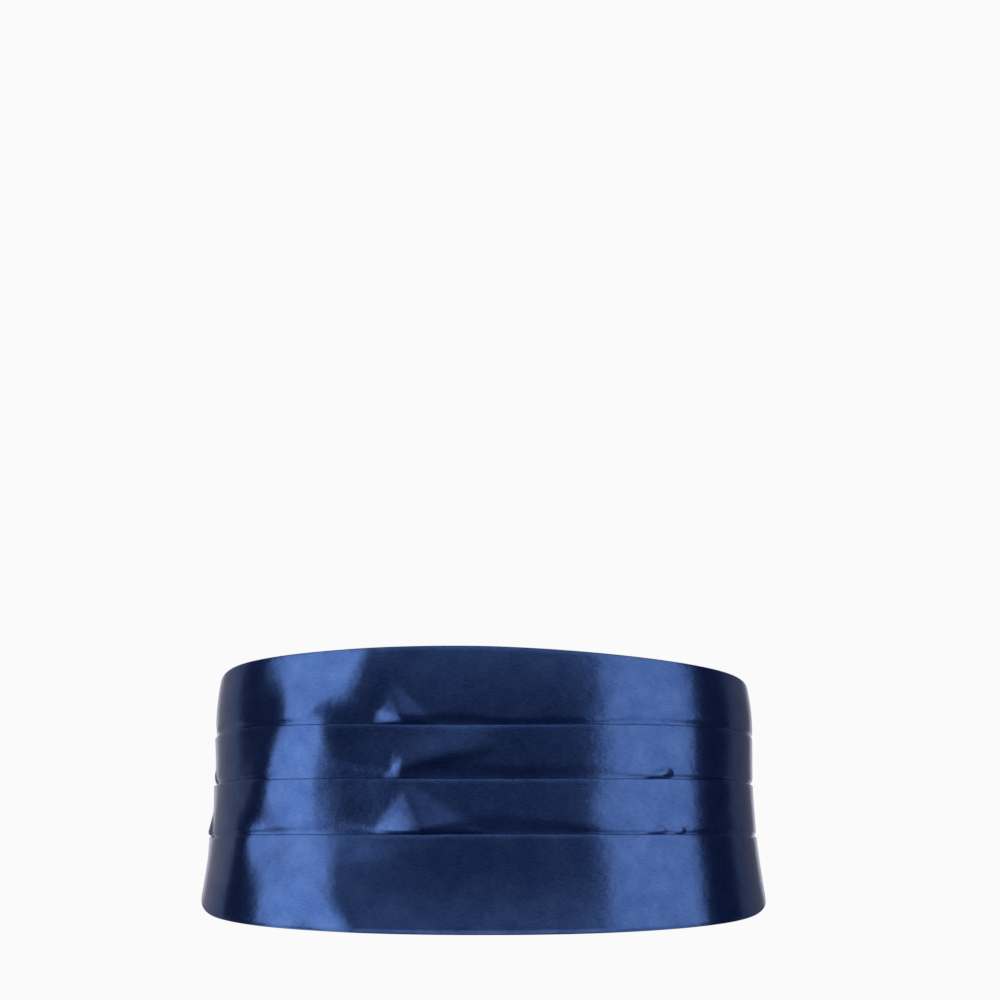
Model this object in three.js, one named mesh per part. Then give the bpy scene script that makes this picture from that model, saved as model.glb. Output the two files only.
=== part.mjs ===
// A satin cummerbund, fastened as it is worn: one pleated cloth panel that wraps the front, the
// sides and part of the back, a cloth binding on each of its ends, and two straps that meet in a
// plain clasp at the centre back. Three pleats face upwards and divide the face into four bands.
//
// The frame: +Z is up, the front faces -Y, and the origin is the middle of the waist that the
// cummerbund goes round, at the middle of the panel's height. Lengths are in millimetres.
// A place on the cummerbund is (along, out, height): along is measured round the waist from the
// centre front, positive towards +X, and out is the distance outwards from the waist's surface.
import * as THREE from "three";

// The waist that the cummerbund is wrapped round.
const WAIST_HALF_WIDTH = 135;
const WAIST_HALF_DEPTH = 96.5;
const WAIST_SQUARENESS = 2.3; // 2 is an ellipse, and more is a fuller corner
const HIP_START = 15; // the height below which the waist widens towards the hips
const HIP_DROP = 68; // how far below that start the side has widened by HIP_WIDENING
const HIP_WIDENING = 6.9;
const HIP_CURVE = 1.8;
const HIP_DEPTH_SHARE = 0.75; // the front widens by this much of what the side does
const BACK_FADE_START = 1.9; // the widening fades out between these angles from the front
const BACK_FADE_END = 2.5;

// The pleated panel, measured on the finished cloth.
const CLOTH = 1.0; // one layer of satin with its fused interlining
const LAYER_GAP = 0.3; // between the pressed layers of a pleat
const PANEL_LENGTH = 620;
const CENTRE_HEIGHT = 144;
const END_HEIGHT = 60;
const TOP_TAPER = 1.8; // a larger power keeps the edge level for longer before it falls
const BOTTOM_TAPER = 2.3;
const TOP_LEAN = 2.2; // the top edge sits this much lower on the right than on a level line
const TOP_TUCK = 1.4; // the top edge lies closer to the waist by this than its band does
const TUCK_END = 0.6; // the share of the top band's height over which it comes out again
const PLEAT_UNDERLAP = 14; // how far a pleat's hidden layers reach down behind its edge
const BAND_BOW = 0.4; // how far the middle of each band stands proud

// Each pleat's upper edge, as a share of the panel's height from its top, at four places from
// the centre front to the panel's end.
const PLEATS = [
  { name: "upper", centre: 0.274, front: 0.246, flank: 0.256, end: 0.29 },
  { name: "middle", centre: 0.462, front: 0.449, flank: 0.466, end: 0.49 },
  { name: "lower", centre: 0.653, front: 0.66, flank: 0.696, end: 0.69 },
];
const PLEAT_PLACES = [0, 0.4, 0.6, 1]; // of those columns, as shares of half the panel's length

// Where a cut edge draws in towards the panel's middle, so that the flanks have round corners:
// side is 1 for the upper edge and -1 for the lower, at and spread are shares of half the
// panel's length, and draw is a share of half its height.
const EDGE_DRAWS = [
  { side: 1, at: -0.68, spread: 0.13, draw: 0.11 },
  { side: 1, at: 0.68, spread: 0.13, draw: 0.055 },
  { side: -1, at: -0.68, spread: 0.13, draw: 0.125 },
  { side: -1, at: 0.68, spread: 0.13, draw: 0.1 },
];

// The shares of a band's visible height at which its face is cut. From FALL_START it comes in
// towards the waist, and by FALL_END it lies under the edge of the next pleat.
const FACE_CUTS = [0, 0.25, 0.5, 0.7, 0.8, 0.86, 0.92, 0.97];
const FALL_START = 0.78;
const FALL_END = 0.97;

// Places where a pleat's edge has sprung open: at is a share of half the panel's length, spread
// a share of the same, and open how far the edge stands off, in cloth thicknesses.
const GAPES = [
  { pleat: 2, at: -0.6, spread: 0.06, open: 0.9 },
  { pleat: 1, at: -0.58, spread: 0.05, open: 0.9 },
  { pleat: 1, at: 0.43, spread: 0.05, open: 0.5 },
];

// Soft swells and dents of the whole cloth: at and spread are shares of half the panel's length,
// level and tall shares of half its height, and out is in cloth thicknesses. Slant leans a swell:
// it is how far the middle moves along for each millimetre up.
const SWELLS = [
  { at: -0.226, level: 0.611, spread: 0.061, tall: 0.833, out: 2.6, slant: 0.6 },
  { at: -0.287, level: 0.514, spread: 0.055, tall: 0.208, out: 2.6, slant: -0.42 },
  { at: -0.252, level: -0.944, spread: 0.042, tall: 0.139, out: -2.1, slant: -0.6 },
  { at: -0.371, level: 0.069, spread: 0.042, tall: 0.792, out: 1.45, slant: 0.39 },
  { at: -0.242, level: -0.292, spread: 0.116, tall: 0.153, out: -2.6, slant: 0.6 },
  { at: -0.174, level: -0.236, spread: 0.081, tall: 0.972, out: -2.6, slant: -0.28 },
  { at: -0.361, level: -0.333, spread: 0.052, tall: 0.208, out: -2.35, slant: -0.49 },
  { at: -0.194, level: -0.514, spread: 0.177, tall: 0.972, out: 2.6, slant: 0.3 },
  { at: 0, level: -0.708, spread: 0.29, tall: 0.292, out: -1.2, slant: 0 },
  { at: 0.6, level: 0.306, spread: 0.119, tall: 0.694, out: 0.8, slant: 0 },
];

// The cloth bindings on the panel's ends.
const FIT_GAP = 0.3; // between two pieces that are sewn or threaded together
const BINDING_WIDTH = 13;
const BINDING_OVERHANG = 1; // above and below the panel's end

// The straps and the clasp.
const STRAP_WIDTH = 30;
const STRAP_CLOTH = 1.4;
const STRAP_RETURN = 16; // the end that is turned back through the clasp and sewn down
const STRAP_DESCENT = 6; // the length in which that end comes down onto the strap
const CLASP_THICKNESS = 2;
const CLASP_MIDDLE_HALF = 6.5; // the plate between the two slots
const CLASP_SLOT = 3.6;
const CLASP_BAR = 4;
const CLASP_RIM = 3.5; // above and below the slots
const CLASP_SLOT_GAP = 0.5; // between a slot's ends and the strap's edges
const CLASP_CORNER = 2.5;

// How finely the curved pieces are cut.
const PANEL_STEPS = 40;
const BEND_STEPS = 3;
const STRAP_STEPS = 7;
const WAIST_SAMPLES = 900;

const satin = new THREE.MeshStandardMaterial({ color: 0x1c2f63, roughness: 0.35, metalness: 0.0 });
const bindingSatin = new THREE.MeshStandardMaterial({ color: 0x1a2b5c, roughness: 0.4 });
const strapWeb = new THREE.MeshStandardMaterial({ color: 0x16244c, roughness: 0.6 });
const claspSteel = new THREE.MeshStandardMaterial({ color: 0xb9bcc0, roughness: 0.3, metalness: 1 });

const halfPanel = PANEL_LENGTH / 2;
const halfCentreHeight = CENTRE_HEIGHT / 2;
const bindingMouth = halfPanel - BINDING_WIDTH;

/** A step from 0 at low to 1 at high that starts and ends gently. */
function ease(low, high, value) {
  return THREE.MathUtils.smoothstep(value, low, high);
}

/** A hump of height 1 at centre that has nearly gone at two spreads from it. */
function hump(value, centre, spread) {
  return Math.exp(-(((value - centre) / spread) ** 2));
}

/** A point of the waist's surface, at an angle round it from the centre front. */
function waistPoint(angle, height) {
  const fade = 1 - ease(BACK_FADE_START, BACK_FADE_END, Math.abs(angle));
  const drop = Math.max(0, HIP_START - height) / HIP_DROP;
  const widening = HIP_WIDENING * fade * drop ** HIP_CURVE;
  const across = Math.abs(Math.sin(angle)) / (WAIST_HALF_WIDTH + widening);
  const deep = Math.abs(Math.cos(angle)) / (WAIST_HALF_DEPTH + widening * HIP_DEPTH_SHARE);
  const radius =
    (across ** WAIST_SQUARENESS + deep ** WAIST_SQUARENESS) ** (-1 / WAIST_SQUARENESS);
  return new THREE.Vector3(radius * Math.sin(angle), -radius * Math.cos(angle), height);
}

/** The length round the waist from the centre front to each of many even angles, up to the back. */
function measureWaist() {
  const lengths = [0];
  for (let i = 1; i <= WAIST_SAMPLES; i++) {
    const before = waistPoint((Math.PI * (i - 1)) / WAIST_SAMPLES, 0);
    const here = waistPoint((Math.PI * i) / WAIST_SAMPLES, 0);
    lengths.push(lengths[i - 1] + here.distanceTo(before));
  }
  return lengths;
}

const waistLengths = measureWaist();
const halfGirth = waistLengths[WAIST_SAMPLES];

/** The angle from the centre front that lies a given length round the waist. */
function angleAt(along) {
  const length = Math.min(Math.abs(along), halfGirth);
  let i = 1;
  while (i < WAIST_SAMPLES && waistLengths[i] < length) i++;
  const share = (length - waistLengths[i - 1]) / (waistLengths[i] - waistLengths[i - 1]);
  return (Math.sign(along) * Math.PI * (i - 1 + share)) / WAIST_SAMPLES;
}

/** The place (along, out, height) in the part's frame. */
function place(along, out, height) {
  const nudge = Math.PI / WAIST_SAMPLES;
  const angle = angleAt(along);
  const ahead = waistPoint(angle + nudge, height);
  const behind = waistPoint(angle - nudge, height);
  const outward = new THREE.Vector3(ahead.y - behind.y, behind.x - ahead.x, 0).normalize();
  return waistPoint(angle, height).addScaledVector(outward, out);
}

/** The outline of a strip of cloth that follows a line of Vector2 points, closed and in order. */
function stripOutline(line, thickness) {
  const oneSide = [];
  const otherSide = [];
  line.forEach((point, i) => {
    const before = line[Math.max(i - 1, 0)];
    const after = line[Math.min(i + 1, line.length - 1)];
    const cameFrom = point.clone().sub(i > 0 ? before : point);
    const goesTo = (i < line.length - 1 ? after : point).clone().sub(point);
    const along = cameFrom.normalize().add(goesTo.normalize()).normalize();
    const straight = i > 0 && i < line.length - 1 ? along.dot(goesTo) : 1;
    const across = new THREE.Vector2(-along.y, along.x).multiplyScalar(thickness / 2 / straight);
    oneSide.push(point.clone().add(across));
    otherSide.unshift(point.clone().sub(across));
  });
  return [...oneSide, ...otherSide];
}

/** A closed solid through rings of points, each the outline of a strip, with a lid at each end. */
function loft(rings) {
  const count = rings[0].length;
  const last = (rings.length - 1) * count;
  const faces = [];
  for (let r = 0; r < rings.length - 1; r++)
    for (let i = 0; i < count; i++) {
      const here = r * count;
      const next = (i + 1) % count;
      faces.push([here + i, here + next, here + count + next]);
      faces.push([here + i, here + count + next, here + count + i]);
    }
  for (let i = 0; i < count / 2 - 1; i++) {
    const facing = count - 1 - i;
    faces.push([i, facing, facing - 1], [i, facing - 1, i + 1]);
    faces.push([last + facing - 1, last + facing, last + i]);
    faces.push([last + i + 1, last + facing - 1, last + i]);
  }
  return outwards(rings.flat(), faces);
}

/** A geometry from points and triangles, with every triangle turned over if the solid is inside out. */
function outwards(points, faces) {
  const volume = faces.reduce(
    (sum, [a, b, c]) => sum + points[a].dot(points[b].clone().cross(points[c])),
    0,
  );
  const index = faces.flatMap(([a, b, c]) => (volume > 0 ? [a, b, c] : [c, b, a]));
  const geometry = new THREE.BufferGeometry().setFromPoints(points).setIndex(index);
  geometry.computeVertexNormals();
  return geometry;
}

/** The height of the panel's upper or lower edge, before it draws in. */
function edgeHeight(along, side) {
  const far = Math.abs(along) / halfPanel;
  const taper = far ** (side > 0 ? TOP_TAPER : BOTTOM_TAPER);
  return (side * THREE.MathUtils.lerp(CENTRE_HEIGHT, END_HEIGHT, taper)) / 2;
}

/** How far the panel's upper or lower edge draws in at a place, towards its middle. */
function drawIn(along, side) {
  return EDGE_DRAWS.filter((row) => row.side === side).reduce(
    (sum, row) => sum + row.draw * halfCentreHeight * hump(along / halfPanel, row.at, row.spread),
    0,
  );
}

/** A smooth curve's value at a place, through the values that it has at some rising places. */
function curveThrough(places, values, at) {
  const last = places.length - 1;
  const slope = (i) => {
    const low = Math.max(i - 1, 0);
    const high = Math.min(i + 1, last);
    return i === 0 ? 0 : (values[high] - values[low]) / (places[high] - places[low]);
  };
  let i = 0;
  while (i < last - 1 && places[i + 1] < at) i++;
  const span = places[i + 1] - places[i];
  const t = (at - places[i]) / span;
  const rise = values[i] + (values[i + 1] - values[i]) * t * t * (3 - 2 * t);
  return rise + span * t * (1 - t) * (slope(i) * (1 - t) - slope(i + 1) * t);
}

/** How far a place of the cloth is swelled out or dented in. */
function swell(along, height) {
  return SWELLS.reduce((sum, row) => {
    const above = height - row.level * halfCentreHeight;
    const beside = along - row.at * halfPanel - row.slant * above;
    const shape = hump(beside / halfPanel, 0, row.spread) * hump(above / halfCentreHeight, 0, row.tall);
    return sum + row.out * CLOTH * shape;
  }, 0);
}

/** How far one pleat's edge has sprung open at a place along the panel. */
function gape(pleat, along) {
  return GAPES.filter((row) => row.pleat === pleat).reduce(
    (sum, row) => sum + row.open * CLOTH * hump(along / halfPanel, row.at, row.spread),
    0,
  );
}

// The three layers of cloth at a pleat, as distances of their middles from the waist.
const bendRadius = (CLOTH + LAYER_GAP) / 2;
const innerLayer = CLOTH / 2;
const middleLayer = innerLayer + 2 * bendRadius;
const outerLayer = middleLayer + 2 * bendRadius;

/** A station's levels: the panel's edges, each pleat's edge and the foot of its hidden fold. */
function levelsAt(along) {
  const height = edgeHeight(along, 1) - edgeHeight(along, -1);
  const far = Math.abs(along) / halfPanel;
  const edges = PLEATS.map((row) => {
    const share = curveThrough(PLEAT_PLACES, [row.centre, row.front, row.flank, row.end], far);
    return edgeHeight(along, 1) - height * share;
  });
  const feet = edges.map((edge) => edge - (PLEAT_UNDERLAP * height) / CENTRE_HEIGHT);
  const lean = TOP_LEAN * Math.sin((Math.PI * along) / halfPanel);
  const top = edgeHeight(along, 1) - lean - drawIn(along, 1);
  const bottom = edgeHeight(along, -1) + drawIn(along, -1);
  return { top, bottom, edges, feet };
}

/** The line of Vector2 (out, height) that the cloth follows down the panel at one station. */
function foldLine(along) {
  const { top, bottom, edges, feet } = levelsAt(along);
  const line = [];
  const add = (out, height) => line.push(new THREE.Vector2(out + swell(along, height), height));
  const face = (from, pleat, shift) => {
    const isLast = pleat === edges.length;
    const to = isLast ? bottom : edges[pleat];
    for (const cut of isLast ? [...FACE_CUTS, 1] : FACE_CUTS) {
      const height = THREE.MathUtils.lerp(from, to, cut);
      const fallen = isLast ? 0 : ease(FALL_START, FALL_END, cut);
      const bow = BAND_BOW * Math.sin(Math.PI * cut);
      add(THREE.MathUtils.lerp(outerLayer, innerLayer, fallen) + bow + shift(height), height);
    }
    if (!isLast) add(innerLayer, feet[pleat]);
  };
  const tuckEnd = THREE.MathUtils.lerp(top, edges[0], TUCK_END);
  face(top, 0, (height) => -TOP_TUCK * ease(tuckEnd, top, height));
  edges.forEach((edge, pleat) => {
    const foot = feet[pleat];
    const open = gape(pleat, along);
    const opened = (height) => open * THREE.MathUtils.clamp((height - foot) / (edge - foot), 0, 1);
    for (let i = 1; i < BEND_STEPS; i++) {
      const turn = Math.PI * (1 + i / BEND_STEPS);
      add(innerLayer + bendRadius * (1 + Math.cos(turn)), foot + bendRadius * Math.sin(turn));
    }
    add(middleLayer, foot);
    const crest = edge - bendRadius - CLOTH / 2;
    for (let i = 0; i < BEND_STEPS; i++) {
      const turn = Math.PI * (1 - i / BEND_STEPS);
      const height = crest + bendRadius * Math.sin(turn);
      add(middleLayer + bendRadius * (1 + Math.cos(turn)) + opened(height), height);
    }
    face(crest, pleat + 1, opened);
  });
  return line;
}

/** The pleated panel: one cloth, folded down its height and carried round the waist. */
function panelGeometry() {
  const stations = [-halfPanel];
  for (let i = 0; i <= PANEL_STEPS; i++)
    stations.push(THREE.MathUtils.lerp(-bindingMouth, bindingMouth, i / PANEL_STEPS));
  stations.push(halfPanel);
  const rings = stations.map((along) =>
    stripOutline(foldLine(along), CLOTH).map((point) => place(along, point.x, point.y)),
  );
  return loft(rings);
}

/** A strip of cloth whose line runs round the waist, as Vector2 (along, out), over a height. */
function uprightStrip(line, thickness, halfHeight) {
  const outline = stripOutline(line, thickness);
  const rings = [-halfHeight, 0, halfHeight].map((height) =>
    outline.map((point) => place(point.x, point.y, height)),
  );
  return loft(rings);
}

/** The binding on one end of the panel: a folded cloth that holds the pleats from both sides. */
function bindingGeometry(side) {
  const inside = -FIT_GAP - CLOTH / 2;
  const outside = outerLayer + BAND_BOW + CLOTH / 2 + FIT_GAP + CLOTH / 2;
  const closed = halfPanel + FIT_GAP + CLOTH / 2;
  const wrap = [bindingMouth, halfPanel, closed];
  const line = [
    ...wrap.map((along) => new THREE.Vector2(side * along, inside)),
    ...wrap.toReversed().map((along) => new THREE.Vector2(side * along, outside)),
  ];
  return uprightStrip(line, CLOTH, END_HEIGHT / 2 + BINDING_OVERHANG);
}

// The clasp's levels above the waist, and the places of its bars from the centre back.
const claspInner = STRAP_CLOTH + FIT_GAP;
const claspOuter = claspInner + CLASP_THICKNESS;
const barStart = CLASP_MIDDLE_HALF + CLASP_SLOT;
const barEnd = barStart + CLASP_BAR;

/** One strap: from its binding to the clasp, up through a slot, round the bar and back on itself. */
function strapGeometry(side) {
  const start = halfPanel + 2 * FIT_GAP + CLOTH;
  const fromBack = (distance, out) => new THREE.Vector2(side * (halfGirth - distance), out);
  const low = STRAP_CLOTH / 2;
  const high = claspOuter + FIT_GAP + STRAP_CLOTH / 2;
  const line = [];
  for (let i = 0; i < STRAP_STEPS; i++) {
    const along = THREE.MathUtils.lerp(start, halfGirth - barEnd, i / STRAP_STEPS);
    line.push(new THREE.Vector2(side * along, low));
  }
  line.push(fromBack(barEnd, low));
  const turnRadius = (high - low) / 2;
  for (let i = 0; i <= 2 * BEND_STEPS; i++) {
    const turn = Math.PI * (-0.5 + i / (2 * BEND_STEPS));
    const distance = barStart - turnRadius * Math.cos(turn);
    line.push(fromBack(distance, low + turnRadius * (1 + Math.sin(turn))));
  }
  const landed = low + STRAP_CLOTH + LAYER_GAP;
  line.push(fromBack(barEnd, high));
  line.push(fromBack(barEnd + STRAP_DESCENT, landed));
  line.push(fromBack(barEnd + STRAP_DESCENT + STRAP_RETURN, landed));
  return uprightStrip(line, STRAP_CLOTH, STRAP_WIDTH / 2);
}

/** A rectangle with round corners, about a centre, in a Shape or a Path. */
function roundedRectangle(outline, centre, halfWidth, halfHeight, corner) {
  const sides = [
    { x: halfWidth, y: -halfHeight, start: -0.5 },
    { x: halfWidth, y: halfHeight, start: 0 },
    { x: -halfWidth, y: halfHeight, start: 0.5 },
    { x: -halfWidth, y: -halfHeight, start: 1 },
  ];
  for (const { x, y, start } of sides) {
    const turn = start * Math.PI;
    const cx = centre + x - Math.sign(x) * corner;
    outline.absarc(cx, y - Math.sign(y) * corner, corner, turn, turn + Math.PI / 2, false);
  }
  outline.closePath();
  return outline;
}

/** The clasp: one plain plate with a slot for each strap, standing across the centre back. */
function claspGeometry() {
  const slotHalfHeight = STRAP_WIDTH / 2 + CLASP_SLOT_GAP;
  const halfHeight = slotHalfHeight + CLASP_RIM;
  const plate = roundedRectangle(new THREE.Shape(), 0, barEnd, halfHeight, CLASP_CORNER);
  for (const side of [-1, 1]) {
    const centre = side * (CLASP_MIDDLE_HALF + CLASP_SLOT / 2);
    const round = CLASP_SLOT / 4;
    plate.holes.push(
      roundedRectangle(new THREE.Path(), centre, CLASP_SLOT / 2, slotHalfHeight, round),
    );
  }
  return new THREE.ExtrudeGeometry(plate, {
    depth: CLASP_THICKNESS,
    bevelEnabled: false,
    curveSegments: 4,
  });
}

/** A named mesh. */
function piece(name, geometry, material) {
  const mesh = new THREE.Mesh(geometry, material);
  mesh.name = name;
  return mesh;
}

const clasp = piece("clasp", claspGeometry(), claspSteel);
clasp.rotation.x = Math.PI / 2;
clasp.position.set(0, WAIST_HALF_DEPTH + claspOuter, 0);

const cummerbund = new THREE.Group();
cummerbund.add(
  piece("pleated_panel", panelGeometry(), satin),
  piece("end_binding_left", bindingGeometry(-1), bindingSatin),
  piece("end_binding_right", bindingGeometry(1), bindingSatin),
  piece("strap_left", strapGeometry(-1), strapWeb),
  piece("strap_right", strapGeometry(1), strapWeb),
  clasp,
);

export default cummerbund;
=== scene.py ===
"""A navy satin cummerbund, dressed for its picture.

The frame is the part's own: metres, +Z up, the front faces -Y, and the origin is the middle of
the waist that the cummerbund goes round. Sizes here are in millimetres until a mesh is written.

A place on the cummerbund is (along, out, height). Along is measured round the waist from the
centre front, positive towards +X, and out is the distance outwards from the waist's surface.
"""

import logging
import math
from collections.abc import Iterator
from contextlib import contextmanager
from dataclasses import dataclass
from enum import Enum

import bmesh
import bpy
import numpy as np
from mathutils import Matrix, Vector


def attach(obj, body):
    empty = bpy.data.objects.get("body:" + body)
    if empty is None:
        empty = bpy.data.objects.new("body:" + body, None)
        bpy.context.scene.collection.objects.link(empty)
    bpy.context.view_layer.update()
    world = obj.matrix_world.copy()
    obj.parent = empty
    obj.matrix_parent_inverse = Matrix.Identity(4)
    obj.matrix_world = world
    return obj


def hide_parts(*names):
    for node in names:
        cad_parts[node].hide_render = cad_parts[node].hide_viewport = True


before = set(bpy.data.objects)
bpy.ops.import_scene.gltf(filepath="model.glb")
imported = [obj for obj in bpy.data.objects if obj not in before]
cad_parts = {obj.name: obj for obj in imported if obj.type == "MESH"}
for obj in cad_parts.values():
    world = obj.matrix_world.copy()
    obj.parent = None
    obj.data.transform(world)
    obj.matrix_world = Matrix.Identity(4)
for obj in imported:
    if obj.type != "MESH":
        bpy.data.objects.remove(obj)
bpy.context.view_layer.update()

log = logging.getLogger("cummerbund")
MM = 0.001
CLOTH_UV = "cloth"
NOISE_LOW, NOISE_HIGH = 0.3, 0.7  # nearly all values of a noise texture lie between these
MIX_A, MIX_B, MIX_RESULT = 6, 7, 2  # the colour sockets of a Mix node


def linear(code: str) -> tuple[float, float, float, float]:
    """A colour for a shader from its sRGB hex code.

    Args:
        code: Six hex digits, such as "1c2f63".

    Returns:
        Linear red, green, blue and an alpha of 1.
    """
    parts = [int(code[i : i + 2], 16) / 255 for i in (0, 2, 4)]
    bent = [p / 12.92 if p <= 0.04045 else ((p + 0.055) / 1.055) ** 2.4 for p in parts]
    return (*bent, 1.0)


def ease(low: np.ndarray | float, high: float, value: np.ndarray) -> np.ndarray:
    """A step from 0 at low to 1 at high that starts and ends gently: 3t^2 - 2t^3."""
    t = np.clip((value - low) / (high - low), 0, 1)
    return t * t * (3 - 2 * t)


def hump(value: np.ndarray, centre: float, spread: float) -> np.ndarray:
    """A hump of height 1 at centre that has nearly gone at two spreads from it: exp(-t^2)."""
    return np.exp(-(((value - centre) / spread) ** 2))


def mix(start: np.ndarray | float, end: np.ndarray | float, share: np.ndarray | float) -> np.ndarray:
    """The value that lies a share of the way from start to end."""
    return start + (end - start) * share


def add_node(
    tree: bpy.types.NodeTree,
    kind: str,
    settings: dict[str | int, object],
    links: dict[str | int, bpy.types.NodeSocket],
) -> bpy.types.Node:
    """Adds a shader node with its settings and links.

    Args:
        tree: The node tree that it goes in.
        kind: The node's type, such as "ShaderNodeBump".
        settings: The node's properties, or its inputs' values by name or number.
        links: What each linked input takes, by the input's name or number.

    Returns:
        The new node.
    """
    node = tree.nodes.new(kind)
    for name, value in settings.items():
        if isinstance(name, int) or name in node.inputs:
            node.inputs[name].default_value = value
        else:
            setattr(node, name, value)
    for name, source in links.items():
        tree.links.new(source, node.inputs[name])
    return node


def blank_material(name: str) -> tuple[bpy.types.Material, bpy.types.NodeTree]:
    """A new material with no nodes in it yet.

    Args:
        name: The material's name.

    Returns:
        The material and its node tree.
    """
    made = bpy.data.materials.new(name)
    made.use_nodes = True
    made.node_tree.nodes.clear()
    return made, made.node_tree


def linked(name: str, data: bpy.types.ID) -> bpy.types.Object:
    """A new object that is in the scene.

    Args:
        name: The object's name.
        data: Its mesh, light or camera.

    Returns:
        The object.
    """
    made = bpy.data.objects.new(name, data)
    bpy.context.scene.collection.objects.link(made)
    return made


@contextmanager
def reworked(mesh: bpy.types.Mesh) -> Iterator[bmesh.types.BMesh]:
    """Opens a mesh for its caller's edits, then turns its faces outwards and writes it back.

    Args:
        mesh: The mesh.

    Yields:
        The mesh's editable copy.
    """
    work = bmesh.new()
    work.from_mesh(mesh)
    yield work
    bmesh.ops.recalc_face_normals(work, faces=work.faces)
    work.to_mesh(mesh)
    work.free()


class Side(Enum):
    """The two sides of the cummerbund, as seen from the front."""

    LEFT = -1
    RIGHT = 1


@dataclass(frozen=True)
class Waist:
    """The surface that the cummerbund is wrapped round, which itself isn't built.

    Each level section is a squared oval: (x / width)^n + (y / depth)^n = 1. Below the hip's start
    it widens by a power of the drop, and the widening fades out towards the back.
    """

    half_width: float = 135.0
    half_depth: float = 96.5
    squareness: float = 2.3
    hip_start: float = 15.0
    hip_drop: float = 68.0
    hip_widening: float = 6.9
    hip_curve: float = 1.8
    hip_depth_share: float = 0.75
    fade_start: float = 1.9
    fade_end: float = 2.5
    samples: int = 900

    def point(self, angle: np.ndarray, height: np.ndarray) -> np.ndarray:
        """Points of the surface.

        Args:
            angle: Angles round the waist from the centre front.
            height: Their heights.

        Returns:
            The points, with x, y and z on the last axis.
        """
        fade = 1 - ease(self.fade_start, self.fade_end, np.abs(angle))
        drop = np.maximum(0, self.hip_start - height) / self.hip_drop
        widening = self.hip_widening * fade * drop**self.hip_curve
        across = np.abs(np.sin(angle)) / (self.half_width + widening)
        deep = np.abs(np.cos(angle)) / (self.half_depth + widening * self.hip_depth_share)
        radius = (across**self.squareness + deep**self.squareness) ** (-1 / self.squareness)
        return np.stack([radius * np.sin(angle), -radius * np.cos(angle), height + 0 * radius], -1)

    def lengths(self) -> tuple[np.ndarray, np.ndarray]:
        """The length round the waist to each of many even angles.

        Returns:
            Angles from the centre front to the centre back, and the length round to each.
        """
        angles = np.linspace(0, math.pi, self.samples + 1)
        points = self.point(angles, np.zeros_like(angles))
        steps = np.linalg.norm(np.diff(points, axis=0), axis=1)
        return angles, np.concatenate([[0], np.cumsum(steps)])

    def half_girth(self) -> float:
        """The length round the waist from the centre front to the centre back."""
        return float(self.lengths()[1][-1])

    def place(self, along: np.ndarray, out: np.ndarray, height: np.ndarray) -> np.ndarray:
        """Places (along, out, height) as points in metres.

        Each is the surface's point there, moved out along the level normal.

        Args:
            along: Lengths round the waist from the centre front.
            out: Distances outwards from the surface.
            height: Heights.

        Returns:
            The points, with x, y and z on the last axis.
        """
        along, out, height = np.broadcast_arrays(along, out, height)
        angles, lengths = self.lengths()
        angle = np.sign(along) * np.interp(np.abs(along), lengths, angles)
        nudge = math.pi / self.samples
        step = self.point(angle + nudge, height) - self.point(angle - nudge, height)
        normal = np.stack([step[..., 1], -step[..., 0], 0 * out], -1)
        normal /= np.linalg.norm(normal, axis=-1, keepdims=True)
        return (self.point(angle, height) + normal * out[..., None]) * MM


def surface(name: str, points: np.ndarray, uv: np.ndarray, closed: bool = False) -> bpy.types.Object:
    """An object whose mesh is a grid of points.

    Its faces point to the side on which the rows run down and the columns run to the right.

    Args:
        name: The piece's name.
        points: The grid, as rows by columns by x, y and z, in metres.
        uv: The grid's map places, as rows by columns by two, in metres of cloth.
        closed: Whether the last row is joined to the first.

    Returns:
        The object, linked to the scene.
    """
    rows, columns = points.shape[:2]
    index = np.arange(rows * columns).reshape(rows, columns)
    below = np.roll(index, -1, axis=0) if closed else index[1:]
    above = index if closed else index[:-1]
    corners = [above[:, :-1], below[:, :-1], below[:, 1:], above[:, 1:]]
    quads = np.stack(corners, -1).reshape(-1, 4)
    mesh = bpy.data.meshes.new(name)
    mesh.from_pydata(points.reshape(-1, 3), [], quads)
    layer = mesh.uv_layers.new(name=CLOTH_UV)
    layer.data.foreach_set("uv", uv.reshape(-1, 2)[quads.ravel()].astype(np.float32).ravel())
    mesh.polygons.foreach_set("use_smooth", np.ones(len(quads), dtype=bool))
    mesh.update()
    return linked(name, mesh)


def thicken(made: bpy.types.Object, thickness: float, inner_slot: int = 0) -> None:
    """Gives a cloth surface its thickness, half to each side.

    Args:
        made: The surface.
        thickness: The cloth's thickness in millimetres.
        inner_slot: How many material slots on from the face's the inner side takes.
    """
    wall = made.modifiers.new("cloth", "SOLIDIFY")
    wall.thickness = thickness * MM
    wall.offset = 0
    wall.material_offset = inner_slot


def dress(made: bpy.types.Object, slot: str, *materials: bpy.types.Material) -> None:
    """Gives a piece its materials and its body.

    Args:
        made: The piece.
        slot: Not used.
        materials: The materials, in the order of the piece's slots.
    """
    for material in materials:
        made.data.materials.append(material)
    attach(made, "root")


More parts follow.
